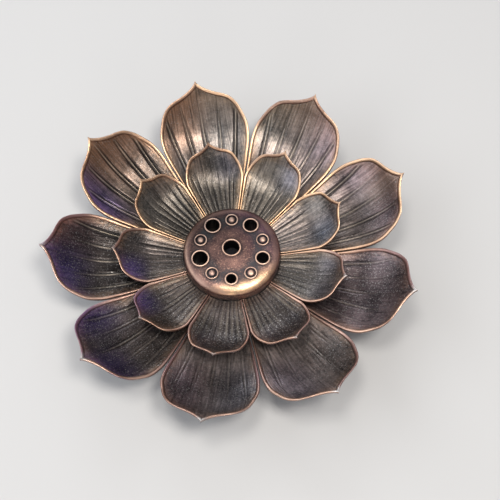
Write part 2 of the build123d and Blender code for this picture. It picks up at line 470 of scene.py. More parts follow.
def welded(points, faces):
    """One copy of each point, and the faces that still have an area. Two faces back to back cancel out."""
    places = np.round(points[:, :3], WELD_DIGITS)
    _, first, back = np.unique(places, axis=0, return_index=True, return_inverse=True)
    back = back.reshape(-1)
    kept = {}
    for face in faces:
        corners = []
        for corner in back[list(face)]:
            if corner not in corners:
                corners.append(int(corner))
        same = frozenset(corners)
        if same in kept:
            del kept[same]
        elif len(corners) > 2:
            kept[same] = corners
    return points[first], list(kept.values())


def joined(parts):
    """Several sets of points and faces as one."""
    points, faces, shift = [], [], 0
    for part_points, part_faces in parts:
        points.append(part_points)
        faces += [[k + shift for k in face] for face in part_faces]
        shift += len(part_points)
    return np.vstack(points), faces


def turned(points, angle):
    """The points turned about the flower's axis."""
    c, s = math.cos(angle), math.sin(angle)
    out = points.copy()
    out[:, 0] = c * points[:, 0] - s * points[:, 1]
    out[:, 1] = s * points[:, 0] + c * points[:, 1]
    return out


def plain(places, height, rim=0.0, groove=0.0):
    """Points over some places in plan, with a height and two of the marks."""
    points = np.zeros((len(places), 3 + len(MARKS)))
    points[:, :2] = places
    points[:, 2] = height
    points[:, COLUMN["rim"]] = rim
    points[:, COLUMN["groove"]] = groove
    return points


def grid_faces(rows, columns, rows_close=False, columns_close=False):
    """Four-cornered faces of a grid of points, which may close round in either direction."""
    faces = []
    for row in range(rows if rows_close else rows - 1):
        here, there = row * columns, (row + 1) % rows * columns
        for column in range(columns if columns_close else columns - 1):
            beside = (column + 1) % columns
            faces.append((here + column, there + column, there + beside, here + beside))
    return faces


print("marks kept with each point:", ", ".join(MARKS))

# %% [markdown]
# A Blender mesh is made from the points and faces in one call. Open ends are closed, points without a face
# go, and normals are turned outward. Faces are shaded smooth, except across sharp edges.

# %% Making a piece
SHARP_ANGLE = math.radians(50)


def make_piece(name, points, faces):
    """A mesh object from points in millimetres, with the marks behind each point as attributes."""
    mesh = bpy.data.meshes.new(name)
    mesh.from_pydata((points[:, :3] * MM).tolist(), [], faces)
    for mark, column in COLUMN.items():
        values = mesh.attributes.new(mark, "FLOAT", "POINT")
        values.data.foreach_set("value", points[:, column].astype(np.float32))
    work = bmesh.new()
    work.from_mesh(mesh)
    open_edges = [edge for edge in work.edges if edge.is_boundary]
    bmesh.ops.holes_fill(work, edges=open_edges, sides=0)
    unused = [point for point in work.verts if not point.link_faces]
    bmesh.ops.delete(work, geom=unused, context="VERTS")
    bmesh.ops.recalc_face_normals(work, faces=work.faces)
    work.to_mesh(mesh)
    work.free()
    mesh.polygons.foreach_set("use_smooth", [True] * len(mesh.polygons))
    mesh.set_sharp_from_angle(angle=SHARP_ANGLE)
    piece = bpy.data.objects.new(name, mesh)
    bpy.context.scene.collection.objects.link(piece)
    return piece


print("edges sharper than", round(math.degrees(SHARP_ANGLE)), "degrees stay crisp")

# %% [markdown]
# ## The film on each petal, with its painted light
# The bath that blackens the copper and the brush that rubs it back leave a different film on every petal,
# listed here. Part of it is painted light: the levels make each petal brighter or darker by how it faces
# the lamps, as painted light and shade, and the cool tones are painted reflections of cool light. A tone is
# a tint with a plain name, and a level says how bright the film and its painted light are. Each petal has a
# level at its root, a tone and level in its middle, and a tone and level for its left and right side, with
# the shares along and across the petal where that side begins. Petal 0 lies along +X, and the others follow
# anticlockwise. Rims are dull by a share at root and tip, left and right, partly from the film and partly
# as painted shade on rims that face away from the light. The last values say how deep each petal's veins
# are, where the film of the root ends, how dull rims are, and how bright ridges and their painted highlight
# are.

# %% Tones and levels
# Tones: the warm ones are the film's own colour; mauve, plum, lilac, slate, ice and violet are painted
# reflections of cool light.
TONES_AND_REFLECTIONS = {
    "grey": (1.0, 1.0, 1.0), "warm": (1.06, 0.98, 0.98), "olive": (1.02, 1.0, 0.93),
    "tan": (1.12, 0.96, 0.85), "brown": (1.26, 0.92, 0.74), "rust": (1.28, 0.85, 0.95),
    "mauve": (1.12, 0.95, 1.08), "plum": (1.14, 0.93, 1.1), "lilac": (1.02, 0.95, 1.15),
    "slate": (0.95, 0.985, 1.18), "ice": (0.84, 0.98, 1.27), "violet": (1.0, 0.8, 2.5),
}
# Per petal: root level, middle tone and level, and each side's tone, level and shares. The levels are
# partly painted light and shade, set by how each petal faces the lamps.
large["films"] = (
    (1.2, ("mauve", 0.8), ("lilac", 2.1, 0.4, 0.4), ("mauve", 2.1, 0.4, -0.1)),
    (1.4, ("warm", 1.1), ("mauve", 1.85, 0.4, -0.15), ("plum", 0.7, 0.5, -0.25)),
    (1.6, ("warm", 1.8), ("olive", 2.4, 0.4, -0.1), ("mauve", 2.35, 0.4, -0.1)),
    (1.9, ("grey", 2.35), ("brown", 1.95, 0.35, -0.3), ("grey", 1.85, 0.3, 0.1)),
    (0.9, ("tan", 1.1), ("violet", 0.5, 0.25, 0.2), ("brown", 1.95, 0.5, -0.8)),
    (0.25, ("warm", 0.45), ("violet", 0.76, 0.55, -0.5), ("rust", 0.65, 0.5, -0.25)),
    (1.0, ("warm", 0.85), ("violet", 0.5, 0.6, -0.4), ("violet", 0.42, 0.4, 0.1)),
    (3.1, ("warm", 2.1), ("slate", 1.45, 0.3, -0.25), ("plum", 0.95, 0.3, -0.25)),
    (3.6, ("warm", 2.6), ("warm", 1.1, 0.3, -0.25), ("lilac", 2.2, 0.3, -0.25)),
)
small["films"] = (
    (0.7, ("grey", 1.05), ("slate", 0.8, 0.4, -0.25), ("slate", 1.1, 0.4, -0.25)),
    (1.8, ("warm", 1.3), ("grey", 1.6, 0.3, -0.25), ("ice", 0.8, 0.3, -0.25)),
    (0.9, ("olive", 1.2), ("olive", 1.65, 0.35, -0.25), ("slate", 1.95, 0.4, -0.25)),
    (0.7, ("olive", 0.7), ("tan", 1.5, 0.5, -0.25), ("slate", 1.4, 0.35, -0.25)),
    (0.4, ("olive", 0.85), ("olive", 1.2, 0.45, -0.25), ("tan", 1.25, 0.5, -0.25)),
    (0.4, ("warm", 0.8), ("violet", 1.0, 0.4, -0.25), ("warm", 0.8, 0.3, -0.25)),
    (0.85, ("warm", 0.7), ("tan", 0.62, 0.4, -0.25), ("violet", 0.8, 0.45, -0.25)),
    (1.3, ("warm", 0.5), ("slate", 0.47, 0.4, -0.25), ("lilac", 0.5, 0.4, -0.25)),
    (1.1, ("warm", 0.55), ("slate", 0.4, 0.4, -0.25), ("lilac", 0.5, 0.4, -0.25)),
)
# How dull each petal's rim is at root and tip, left and right: partly the film, partly painted shade on
# rims that face away from the light.
RIM_DULLS_AND_SHADE = (
    ((0.4, 0.9), (0.4, 0.0)), ((0.1, 0.15), (0.0, 0.0)), ((0.0, 0.7), (0.0, 0.35)),
    ((0.0, 0.45), (0.0, 0.25)), ((0.1, 0.1), (0.0, 0.35)), ((0.4, 0.2), (0.3, 0.95)),
    ((0.7, 0.1), (0.5, 1.0)), ((1.0, 0.3), (1.0, 0.35)), ((0.5, 0.9), (0.6, 0.1)),
)
CARVED_SHARES = (0.5, 0.95, 1.0, 1.05, 1.1, 0.85, 0.65, 0.45, 0.45)
large["carved_least"], small["carved_least"] = 0.0, 0.5
large["root_end"], small["root_end"] = (0.35, 0.6), (0.15, 0.45)
large["dull_share"], small["dull_share"] = 1.0, 0.7
# How strong the painted highlight on the ridges and crests is, petal by petal.
large["ridge_shares"] = (1.0,) * PETALS
small["ridge_shares"] = (0.7, 0.7, 0.3, 0.1, 0.2, 0.6, 1.2, 1.2, 1.2)
print(len(TONES_AND_REFLECTIONS), "tones for", len(large["films"]) + len(small["films"]), "petals")

# %% [markdown]
# The film, with its painted light and shade, is worked out for every point, from a petal's middle to its
# sides and from its root to its tip.
# The two halves get veins of their own, but share the first one, so that they meet.

# %% One whole petal
SIDE_SPREAD, BEGIN_SPREAD = 0.8, 0.35
DULL_CHANGE = (0.5, 0.75)


def petal_film_and_light(petal, number, y, reach):
    """The film on a petal's points with its painted light and shade: how dull its rim is, its level, and
    its tone.
    """
    root_level, (middle_tone, middle_level), *sides = petal["films"][number]
    film_and_light_level = root_level + ease(reach, *petal["root_end"]) * (middle_level - root_level)
    tone_and_reflection = np.tile(TONES_AND_REFLECTIONS[middle_tone], (len(y), 1))
    for side, (side_tone, side_level, begin, edge) in zip((1, -1), sides):
        share = ease(side * y / petal["half_width"], edge, edge + SIDE_SPREAD)
        share = share * ease(reach, begin, begin + BEGIN_SPREAD)
        film_and_light_level += share * (side_level - middle_level)
        tone_and_reflection += np.outer(share, np.subtract(TONES_AND_REFLECTIONS[side_tone], TONES_AND_REFLECTIONS[middle_tone]))
    root_dull, tip_dull = np.where((y > 0)[:, None], *RIM_DULLS_AND_SHADE[number]).T
    dull_and_shade = root_dull + ease(reach, *DULL_CHANGE) * (tip_dull - root_dull)
    return np.column_stack([dull_and_shade * petal["dull_share"], film_and_light_level, tone_and_reflection])


def whole_petal(petal, number):
    """Points and faces of one petal along +X."""
    depth = at_least(petal["carved_least"], CARVED_SHARES[number])
    veins = carved_veins(petal, 2 * number, depth)
    other = [veins[0]] + carved_veins(petal, 2 * number + 1, depth)[1:]
    parts = []
    for side, half_veins in ((1, veins), (-1, other)):
        half = half_petal(petal, half_veins)
        rows, columns, kinds = half.shape
        skin = half.reshape(-1, kinds)
        skin[:, 1] *= side
        skin[:, COLUMN["ridge"]] *= petal["ridge_shares"][number]
        x, y = skin[:, 0], skin[:, 1]
        film = petal_film_and_light(petal, number, y, skin[:, COLUMN["reach"]])
        points = np.column_stack([skin, x, y, np.full(len(skin), number), film])
        parts.append((points, [face[::side] for face in grid_faces(rows, columns)]))
    return welded(*joined(parts))


print("one large petal has", len(whole_petal(large, 0)[1]), "faces")

# %% [markdown]
# The hub under the petals and the ring foot are turned shapes, so they are made by spinning a profile.
# Edges are eased a little, as a casting's are. The large tier's hub is a flat plate on a ring foot, with a
# hole for the screw. The small tier's hub is a plain ring, because the pod's spigot fills its middle.

# %% The two tiers
HUB_SEGMENTS = 120


def spun(profile, segments, closed=True):
    """A profile of radius and height, spun about the flower's axis."""
    radii, heights = np.array(profile, float).T
    line = plain(np.column_stack([radii, 0 * radii]), heights, groove=BACK_FILM)
    for name in ("film_and_light_level", "red", "green", "blue"):
        line[:, COLUMN[name]] = 1.0
    points = np.vstack([turned(line, 2 * math.pi * s / segments) for s in range(segments)])
    return points, grid_faces(segments, len(radii), rows_close=True, columns_close=closed)


def tier(name, petal, hub_profile):
    """Nine petals and their hub as one piece."""
    parts = [spun(hub_profile, HUB_SEGMENTS)]
    for number in range(PETALS):
        points, faces = whole_petal(petal, number)
        parts.append((turned(points, 2 * math.pi * number / PETALS), faces))
    return make_piece(name, *joined(parts))


outer_tier = tier("large_petal_tier", large, [
    (1.65, 2.4), (13.9, 2.4), (14.2, 2.1), (14.2, 0.3), (14.5, 0.0), (16.7, 0.0), (17.0, 0.3), (17.0, 2.2),
    (17.2, 2.4), (17.8, 2.4), (18.0, 2.6), (18.0, 3.9), (17.8, 4.0), (1.65, 4.0),
])
inner_tier = tier("small_petal_tier", small, [
    (11.15, 4.0), (13.8, 4.0), (14.0, 4.2), (14.0, 5.3), (13.8, 5.5), (12.7, 5.5), (12.5, 5.9),
    (11.15, 5.9),
])
for piece in (outer_tier, inner_tier):
    print(piece.name, "has", len(piece.data.polygons), "faces")

# %% [markdown]
# ## The seed pod
# The pod is a squat round casting with a rolled shoulder and a low crown. Six stick holes pierce it, each
# with a raised bright ring round it. Between the outer holes sit five blind seeds, each a ring with a bead
# inside.

# %% Sizes of the pod
POD = {
    "radius": 12.4, "fall_start": 9.0, "fall": 1.7, "sheet": 11.1, "seat": 5.9, "top": 10.5,
    "crown_rise": 0.8, "crown_radii": (1.9, 6.8), "spigot_radius": 11.0, "bottom": 4.15,
    "screw_hole": 1.65, "screw_depth": 2.4, "centre_floor": 7.15,
}
HOLE_CIRCLE = 8.3
HOLE_RADII = [1.5, 1.625, 1.75, 1.875, 1.25]
CENTRE_RADIUS = 2.0
HOLE_STEP = 72
RING_HALF, RING_HEIGHT = 0.25, 0.3
SEED_RADIUS, SEED_HALF, SEED_HEIGHT = 1.5, 0.24, 0.3
BEAD_RADIUS, BEAD_HEIGHT = 0.98, 0.5


def on_circle(angle, radius):
    """A place on a circle about the flower's axis."""
    return np.array([radius * math.cos(angle), radius * math.sin(angle)])


holes = [(on_circle(math.radians(HOLE_STEP * k), HOLE_CIRCLE), r) for k, r in enumerate(HOLE_RADII)]
holes.append((np.zeros(2), CENTRE_RADIUS))
seeds = [on_circle(math.radians(HOLE_STEP * (k + 0.5)), HOLE_CIRCLE) for k in range(len(HOLE_RADII))]
print("stick holes:", [round(2 * r, 2) for _, r in holes], "mm across")

# %% [markdown]
# As with the petals, one function gives the height of the pod's top for every place in plan, together with
# the marks: rings and beads are worn, and the film stays dark round their feet.

# %% Height and wear of the pod's top
EDGE_WEAR, EDGE_RADII = 0.3, (9.8, 11.0)
BAND_DARK, BAND_RADIUS, BAND_WIDTH = 0.5, 7.4, 1.6
HOLE_FOOT_DARK, HOLE_FOOT_WIDTH = 0.7, 0.5
SEED_FOOT_DARK, SEED_FOOT_WIDTH = 0.6, 0.45
SEED_RING_WEAR, BEAD_WEAR, TROUGH_DARK = 0.85, 0.8, 0.9


def pod_dome(radius):
    """Height of the pod without its rings: a low crown in the middle and a fall to the edge."""
    crown = POD["crown_rise"] * (1 - ease(radius, *POD["crown_radii"]))
    over = np.clip((radius - POD["fall_start"]) / (POD["radius"] - POD["fall_start"]), 0, 1)
    return POD["top"] + crown - POD["fall"] * (1 - np.sqrt(1 - over**2))


def pod_top(x, y):
    """Height of the pod's top, and the marks of its rings and of the dark places between them."""
    radius = np.hypot(x, y)
    z = pod_dome(radius)
    rim = EDGE_WEAR * ease(radius, *EDGE_RADII)
    groove = BAND_DARK * hump(radius - BAND_RADIUS, BAND_WIDTH)
    for centre, hole in holes:
        off = np.hypot(x - centre[0], y - centre[1]) - hole - RING_HALF
        across = np.clip(1 - (off / RING_HALF) ** 2, 0, 1)
        z = z + RING_HEIGHT * np.sqrt(across)
        rim = np.maximum(rim, across)
        foot = hump(np.maximum(off - RING_HALF, 0), HOLE_FOOT_WIDTH) * (off > RING_HALF)
        groove = np.maximum(groove * (1 - across), HOLE_FOOT_DARK * foot)
    for centre in seeds:
        away = np.hypot(x - centre[0], y - centre[1])
        ring = np.clip(1 - ((away - SEED_RADIUS) / SEED_HALF) ** 2, 0, 1)
        bead = np.clip(1 - (away / BEAD_RADIUS) ** 2, 0, 1)
        z = z + SEED_HEIGHT * np.sqrt(ring) + BEAD_HEIGHT * np.sqrt(bead)
        rim = np.maximum(rim, np.maximum(SEED_RING_WEAR * ring, BEAD_WEAR * bead))
        trough = (away < SEED_RADIUS) * (1 - ring) * (1 - np.sqrt(bead))
        foot = hump(np.maximum(away - SEED_RADIUS - SEED_HALF, 0), SEED_FOOT_WIDTH)
        foot = (away > SEED_RADIUS) * foot * (1 - ring)
        dark = np.maximum(TROUGH_DARK * trough, SEED_FOOT_DARK * foot)
        groove = np.maximum(groove * (1 - np.maximum(ring, bead)), dark)
    return z, rim, groove


print("crown height:", pod_top(np.array([2.9]), np.array([0.0]))[0].round(2))

# %% [markdown]
# The top is a flat sheet of triangles with a hole for every stick, and is then given its height. The
# triangles come from a Delaunay triangulation, which takes the circles as fixed edges and the other points
# as places to pass through. Rings of points about every hole and seed keep those round forms crisp.

# %% A round sheet with holes
HOLE_POINTS, EDGE_POINTS = 44, 132
SAME_PLACE, CUT_SHARE = 1e-5, 0.999
FILL_RADII, FILL_STEP = np.arange(3.0, 10.9, 0.42), 0.5
HOLE_CLEAR, SEED_CLEAR = 0.85, 2.0
HOLE_STEPS = (0.015, 0.06, 0.14, 0.25, 0.36, 0.44, 0.485, 0.5, 0.62)
BEAD_STEPS = BEAD_RADIUS * np.sin(np.radians(np.arange(15, 91, 15)))
RING_STEPS = SEED_RADIUS + SEED_HALF * np.sin(np.radians(np.arange(-90, 91, 22.5)))
SEED_STEPS = [*BEAD_STEPS, 1.12, *RING_STEPS, 1.87]
SEED_POINTS, FEW_POINTS, FEW_RADIUS = 32, 12, 0.3


def circle(centre, radius, count):
    """Points round a circle."""
    turns = np.linspace(0, 2 * math.pi, count, endpoint=False)
    return np.column_stack([centre[0] + radius * np.cos(turns), centre[1] + radius * np.sin(turns)])


def sheet(outer_radius, cuts, extra):
    """Points and triangles of a disc with round holes: the edge's points first, then each hole's."""
    rings = [circle((0, 0), outer_radius, EDGE_POINTS)] + [circle(c, r, HOLE_POINTS) for c, r in cuts]
    edges, shift = [], 0
    for ring in rings:
        count = len(ring)
        edges += [(shift + k, shift + (k + 1) % count) for k in range(count)]
        shift += count
    places = [Vector(place) for place in np.vstack(rings + [extra])]
    out, _, triangles, *_ = delaunay_2d_cdt(places, edges, [], 1, SAME_PLACE)
    out = np.array([tuple(place) for place in out])
    kept = []
    for triangle in triangles:
        middle = out[list(triangle)].mean(0)
        if all(np.hypot(*(middle - c)) > r * CUT_SHARE for c, r in cuts):
            kept.append(list(triangle))
    return out, kept


def fill_points():
    """Points on rings about the axis, clear of the holes and seeds, and close rings about each of these."""
    points = []
    for radius in FILL_RADII:
        for place in circle((0, 0), radius, int(2 * math.pi * radius / FILL_STEP)):
            clear_hole = all(np.hypot(*(place - c)) > r + HOLE_CLEAR for c, r in holes)
            if clear_hole and all(np.hypot(*(place - c)) > SEED_CLEAR for c in seeds):
                points.append(place)
    for centre, hole in holes:
        for step in HOLE_STEPS:
            points += list(circle(centre, hole + step, HOLE_POINTS))
    for centre in seeds:
        points.append(centre)
        for radius in SEED_STEPS:
            count = FEW_POINTS if radius < FEW_RADIUS else SEED_POINTS
            points += list(circle(centre, radius, count))
    return np.array(points)


top_places, top_faces = sheet(POD["sheet"], holes, fill_points())
print("pod's top:", len(top_places), "points,", len(top_faces), "triangles")

# %% [markdown]
# Below the top, walls run down each hole to the underside of the spigot, and the rolled shoulder runs round
# to the pod's wall. The centre hole and the screw's hole are blind, and meet a thin web between them.

# %% The rest of the pod
LIP, DARK = (0.25, 0.2), (0.0, 1.0)
LIP_DEPTH = 0.25
UNDER_FILM, UNDER_RING, UNDER_POINTS = 0.5, 5.0, 40
ROLL_STEPS = 13
WALL_HEIGHTS = (8.0, 7.0, 6.1)
SEAT_BEVEL = 0.2
SHOULDER_WORN = (8.9, 9.6)
WALL_DARK, WALL_DARK_TOP = 0.25, 9.3
SEAT_DARK, SEAT_DARK_TOP = 0.75, 6.9
DARK_FADE = 0.7


def wall(ring, heights, marks):
    """A ring of places repeated at several heights, with a rim and a groove mark for each."""
    rows = [plain(ring, height, *mark) for height, mark in zip(heights, marks)]
    return np.vstack(rows), grid_faces(len(rows), len(ring), columns_close=True)


def shoulder_and_wall():
    """The pod's side, spun from its rolled shoulder down to the underside of the spigot."""
    radius, fall_start, spigot = POD["radius"], POD["fall_start"], POD["spigot_radius"]
    start = math.asin((POD["sheet"] - fall_start) / (radius - fall_start))
    radii = fall_start + (radius - fall_start) * np.sin(np.linspace(start, math.pi / 2, ROLL_STEPS))
    profile = list(zip(radii, pod_dome(radii))) + [(radius, height) for height in WALL_HEIGHTS]
    profile += [(radius - SEAT_BEVEL, POD["seat"]), (spigot, POD["seat"]), (spigot, POD["bottom"])]
    side, faces = spun(profile, EDGE_POINTS, closed=False)
    z = side[:, 2]
    side[:, COLUMN["rim"]] = EDGE_WEAR * ease(z, *SHOULDER_WORN)
    wall_dark = WALL_DARK * ease(WALL_DARK_TOP - z, 0, DARK_FADE)
    side[:, COLUMN["groove"]] = wall_dark + SEAT_DARK * ease(SEAT_DARK_TOP - z, 0, DARK_FADE)
    return side, faces


def make_pod():
    """The whole pod as one closed piece."""
    parts = [(plain(top_places, *pod_top(*top_places.T)), top_faces)]
    cuts = holes[:-1] + [(np.zeros(2), POD["screw_hole"])]
    under_ring = circle((0, 0), UNDER_RING, UNDER_POINTS)
    under_places, under_faces = sheet(POD["spigot_radius"], cuts, under_ring)
    parts.append((plain(under_places, POD["bottom"], 0, UNDER_FILM), under_faces))
    for place, radius in holes:
        ring = circle(place, radius, HOLE_POINTS)
        mouth = pod_top(*ring.T)[0]
        floor = POD["centre_floor"] if radius == CENTRE_RADIUS else POD["bottom"]
        parts.append(wall(ring, (mouth, mouth - LIP_DEPTH, floor), (LIP, DARK, DARK)))
    whole_ring = [list(range(HOLE_POINTS))]
    parts.append((plain(ring, POD["centre_floor"], *DARK), whole_ring))
    ring = circle((0, 0), POD["screw_hole"], HOLE_POINTS)
    screw_top = POD["bottom"] + POD["screw_depth"]
    parts.append(wall(ring, (POD["bottom"], screw_top), (DARK, DARK)))
    parts.append((plain(ring, screw_top, *DARK), whole_ring))
    parts.append(shoulder_and_wall())
    return make_piece("pierced_seed_pod", *welded(*joined(parts)))


pod = make_pod()
print("pod has", len(pod.data.polygons), "faces, size", [round(s / MM, 1) for s in pod.dimensions])

# %% [markdown]
# ## Node helpers
# Materials here are small node trees. A few helpers keep them readable: one adds a node and fills in its
# values, and the others are its most common uses.

# %% Small helpers for nodes
MIX_SHARE, MIX_FIRST, MIX_SECOND, MIX_COLOUR = 0, 6, 7, 2


def fill(tree, inputs, values):
    """Fills in a node's inputs. A value may be another node's output."""
    for key, value in values.items():
        if isinstance(value, bpy.types.NodeSocket):
            tree.links.new(value, inputs[key])
        else:
            inputs[key].default_value = value


def add(tree, kind, values, **settings):
    """Adds a node with its settings and input values, and gives its outputs."""
    node = tree.nodes.new(kind)
    for key, value in settings.items():
        setattr(node, key, value)
    fill(tree, node.inputs, values)
    return node.outputs


def math_node(tree, operation, *values, clamp=False):
    """One step of arithmetic."""
    return add(tree, "ShaderNodeMath", dict(enumerate(values)), operation=operation, use_clamp=clamp)[0]


def vector_node(tree, operation, *values):
    """One step of arithmetic on places or directions."""
    return add(tree, "ShaderNodeVectorMath", dict(enumerate(values)), operation=operation)


def times(tree, first, *others):
    """Values multiplied together."""
    for other in others:
        first = math_node(tree, "MULTIPLY", first, other)
    return first


def between(tree, value, low, high, first=0.0, last=1.0):
    """A value mapped from one range to another."""
    return add(tree, "ShaderNodeMapRange", {0: value, 1: low, 2: high, 3: first, 4: last})[0]


def noise(tree, place, scale, detail):
    """A cloudy value about one half."""
    return add(tree, "ShaderNodeTexNoise", {"Vector": place, "Scale": scale, "Detail": detail})[0]


def blend(tree, share, first, second, kind="MIX"):
    """Two colours mixed by a share."""
    values = {MIX_SHARE: share, MIX_FIRST: first, MIX_SECOND: second}
    return add(tree, "ShaderNodeMix", values, data_type="RGBA", blend_type=kind)[MIX_COLOUR]


def tinted(tree, colour, tint):
    """A colour multiplied by another colour or by a level."""
    return blend(tree, 1.0, colour, tint, "MULTIPLY")


def layer(tree, face, colour, *masks):
    """A colour laid over a face where all of the masks are."""
    return blend(tree, times(tree, *masks), face, colour)


print("node helpers ready")

# %% [markdown]
# A node group is a small tree of its own. It gets named sockets, so that several materials can share it,
# each with its own values.

# %% Starting and ending a node group
NUMBER, COLOUR, VECTOR = "NodeSocketFloat", "NodeSocketColor", "NodeSocketVector"


def start_group(name, inputs):
    """A shader node group and its named inputs. An input without a value is a place."""
    group = bpy.data.node_groups.new(name, "ShaderNodeTree")
    for label, value in inputs.items():
        kind = VECTOR if value is None else COLOUR if isinstance(value, tuple) else NUMBER
        socket = group.interface.new_socket(label, in_out="INPUT", socket_type=kind)
        if value is not None:
            socket.default_value = value
    return group, group.nodes.new("NodeGroupInput").outputs


def end_group(group, outputs):
    """The group with its named outputs: values, and a colour."""
    for label in outputs:
        kind = COLOUR if label == "Colour" else NUMBER
        group.interface.new_socket(label, in_out="OUTPUT", socket_type=kind)
    fill(group, group.nodes.new("NodeGroupOutput").inputs, outputs)
    return group


print("kinds of socket:", NUMBER, COLOUR, VECTOR)

# %% [markdown]
# ## Patina
# Antique copper is plated copper that is blackened in a bath and then rubbed back. What is left in the
# hollows is a cloudy brown-black film, in places with a hint of violet. The group mixes three colours by
# clouds of several sizes, so that petals and pod can share it with their own colours.

# %% Group: cloudy patina
def make_patina_group():
    """The group for a cloudy film of three colours."""
    group, given = start_group("cloudy patina", {
        "Place": None, "Cloud Size": 120.0, "Dark": (0.02, 0.02, 0.02, 1), "Warm": (0.1, 0.06, 0.04, 1),
        "Violet": (0.05, 0.04, 0.08, 1), "Warm Share": 0.5, "Violet Share": 0.0,
    })
    place, size = given["Place"], given["Cloud Size"]
    coarse = noise(group, place, size, 4.0)
    fine = noise(group, place, times(group, size, 9.0), 3.0)
    both = math_node(group, "MULTIPLY_ADD", fine, 0.45, times(group, coarse, 0.55))
    lifted = between(group, both, 0.36, 0.64)
    warm = math_node(group, "MULTIPLY", lifted, given["Warm Share"], clamp=True)
    film = blend(group, warm, given["Dark"], given["Warm"])
    spread = between(group, noise(group, place, 70.0, 2.0), 0.35, 0.65, 0.4, 1.0)
    violet = math_node(group, "MULTIPLY", spread, given["Violet Share"], clamp=True)
    return end_group(group, {"Colour": blend(group, violet, film, given["Violet"]), "Cloud": lifted})


patina = make_patina_group()
print("group made:", patina.name)

# %% [markdown]
# ## Wear and casting grain
# Rubbing brings the copper back on every rim and ridge, but unevenly. The wear group breaks up a clean edge
# mark with noise, and gives two masks: a wide one where the film is thin and red, and a narrow one where
# the copper is bright. The grain group gives the sandy skin of the casting, and the streaks that a brush
# has left.

# %% Groups: worn edge and casting grain
def make_wear_group():
    """The group that breaks up an edge mark into two masks of wear."""
    group, given = start_group("worn edge", {"Place": None, "Edge": 0.0, "Patch Size": 300.0})
    patchy = between(group, noise(group, given["Place"], given["Patch Size"], 3.0), 0.34, 0.62, 0.5, 1.1)
    kept = times(group, given["Edge"], patchy)
    thin, bright = between(group, kept, 0.08, 0.4), between(group, kept, 0.32, 0.7)
    return end_group(group, {"Thin": thin, "Bright": bright})


def make_grain_group():
    """The group for the casting's sandy skin and the streaks of a brush."""
    group, given = start_group("casting grain", {"Place": None, "Brush Place": None, "Sand Size": 3000.0})
    sand = noise(group, given["Place"], given["Sand Size"], 2.0)
    streak = noise(group, given["Brush Place"], 1.0, 4.0)
    height = math_node(group, "MULTIPLY_ADD", streak, 0.7, times(group, sand, 0.5))
    speck = between(group, sand, 0.57, 0.72)
    return end_group(group, {"Height": height, "Speck": speck, "Streak": streak})


wear = make_wear_group()
grain = make_grain_group()
print("groups made:", wear.name, "and", grain.name)

# %% [markdown]
# ## Finish of the petals
# A material starts as a plain metal shader. Helpers add a node group, read a mark, make a mask that grows
# towards one side of the flower, and give the surface its grain. Films and copper have named colours.

# %% Material helpers
COPPER, PALE_COPPER = (0.93, 0.62, 0.38, 1), (0.93, 0.62, 0.46, 1)
DULL_SHADED_COPPER, WHITE_METAL = (0.37, 0.24, 0.225, 1), (0.9, 0.87, 0.84, 1)
DARK_FILM, WARM_FILM = (0.049, 0.0457, 0.0438, 1), (0.225, 0.193, 0.173, 1)
RED_FILM, BROWN_FILM = (0.25, 0.118, 0.078, 1), (0.25, 0.178, 0.122, 1)
TIP_FILM, BLACK_FILM = (0.185, 0.13, 0.092, 1), (0.012, 0.011, 0.011, 1)
PALE_SPECK, CREST_WEAR_AND_HIGHLIGHT = (0.46, 0.43, 0.41, 1), (0.46, 0.39, 0.30, 1)
WHITE, IN_PLAN = (1.0, 1.0, 1.0, 1), (1.0, 1.0, 0.0)


def use_group(tree, group, values):
    """Adds a node group and fills in its inputs."""
    return add(tree, "ShaderNodeGroup", values, node_tree=group)


def mark(tree, name):
    """A mark that was stored with the mesh's points."""
    return add(tree, "ShaderNodeAttribute", {}, attribute_name=name)["Fac"]


def start_material(name, roughness=0.4, metallic=1.0):
    """A material, its node tree, its shader's inputs, and the place of each point in metres."""
    material = bpy.data.materials.new(name)
    material.use_nodes = True
    tree = material.node_tree
    surface = tree.nodes["Principled BSDF"].inputs
    fill(tree, surface, {"Metallic": metallic, "Roughness": roughness})
    return material, tree, surface, add(tree, "ShaderNodeTexCoord", {})["Object"]


def toward(tree, where, direction, low, high):
    """A mask that grows towards one side of the flower, between two distances."""
    return between(tree, vector_node(tree, "DOT_PRODUCT", where, direction)["Value"], low, high)


def relief(tree, height, strength, depth_mm):
    """A fine relief on a surface."""
    values = {"Strength": strength, "Distance": depth_mm * MM, "Height": height}
    return add(tree, "ShaderNodeBump", values)[0]


print("material helpers ready")

# %% [markdown]
# The face of a petal is laid down in layers: the cloudy film at the petal's own level, which holds painted
# light and shade, a brown halo inside the rim, browner tips at the back of the flower, the petal's tone
# with its painted reflections, and the streaks of the brush. Pale specks and rubbed crests with their
# painted highlight come on top, and grooves keep the blackest film, as does the painted shade just inside
# the rim.

# %% Face of the petals
BRUSH_SCALES = {"across": 2.6, "along": 0.14, "petal": 7.3}
FRONT = (0.331, -0.944, 0.0)
HALO_CLOUDS, HALO_SHARES = (0.1, 0.8), (0.1, 0.8)
BROWN_TIP_MM, BROWN_BACK, BROWN_SHARES = (37.0, 44.0), (0.0, 0.25), (0.8, 0.0)
STREAK_RANGE, STRONG_STREAKS, SOFT_STREAKS = (0.32, 0.68), (0.62, 1.5), (0.76, 1.28)
SPECK_SHARES, CREST_SHARE, GROOVE_SHARE = (0.35, 0.8), 0.5, 0.9


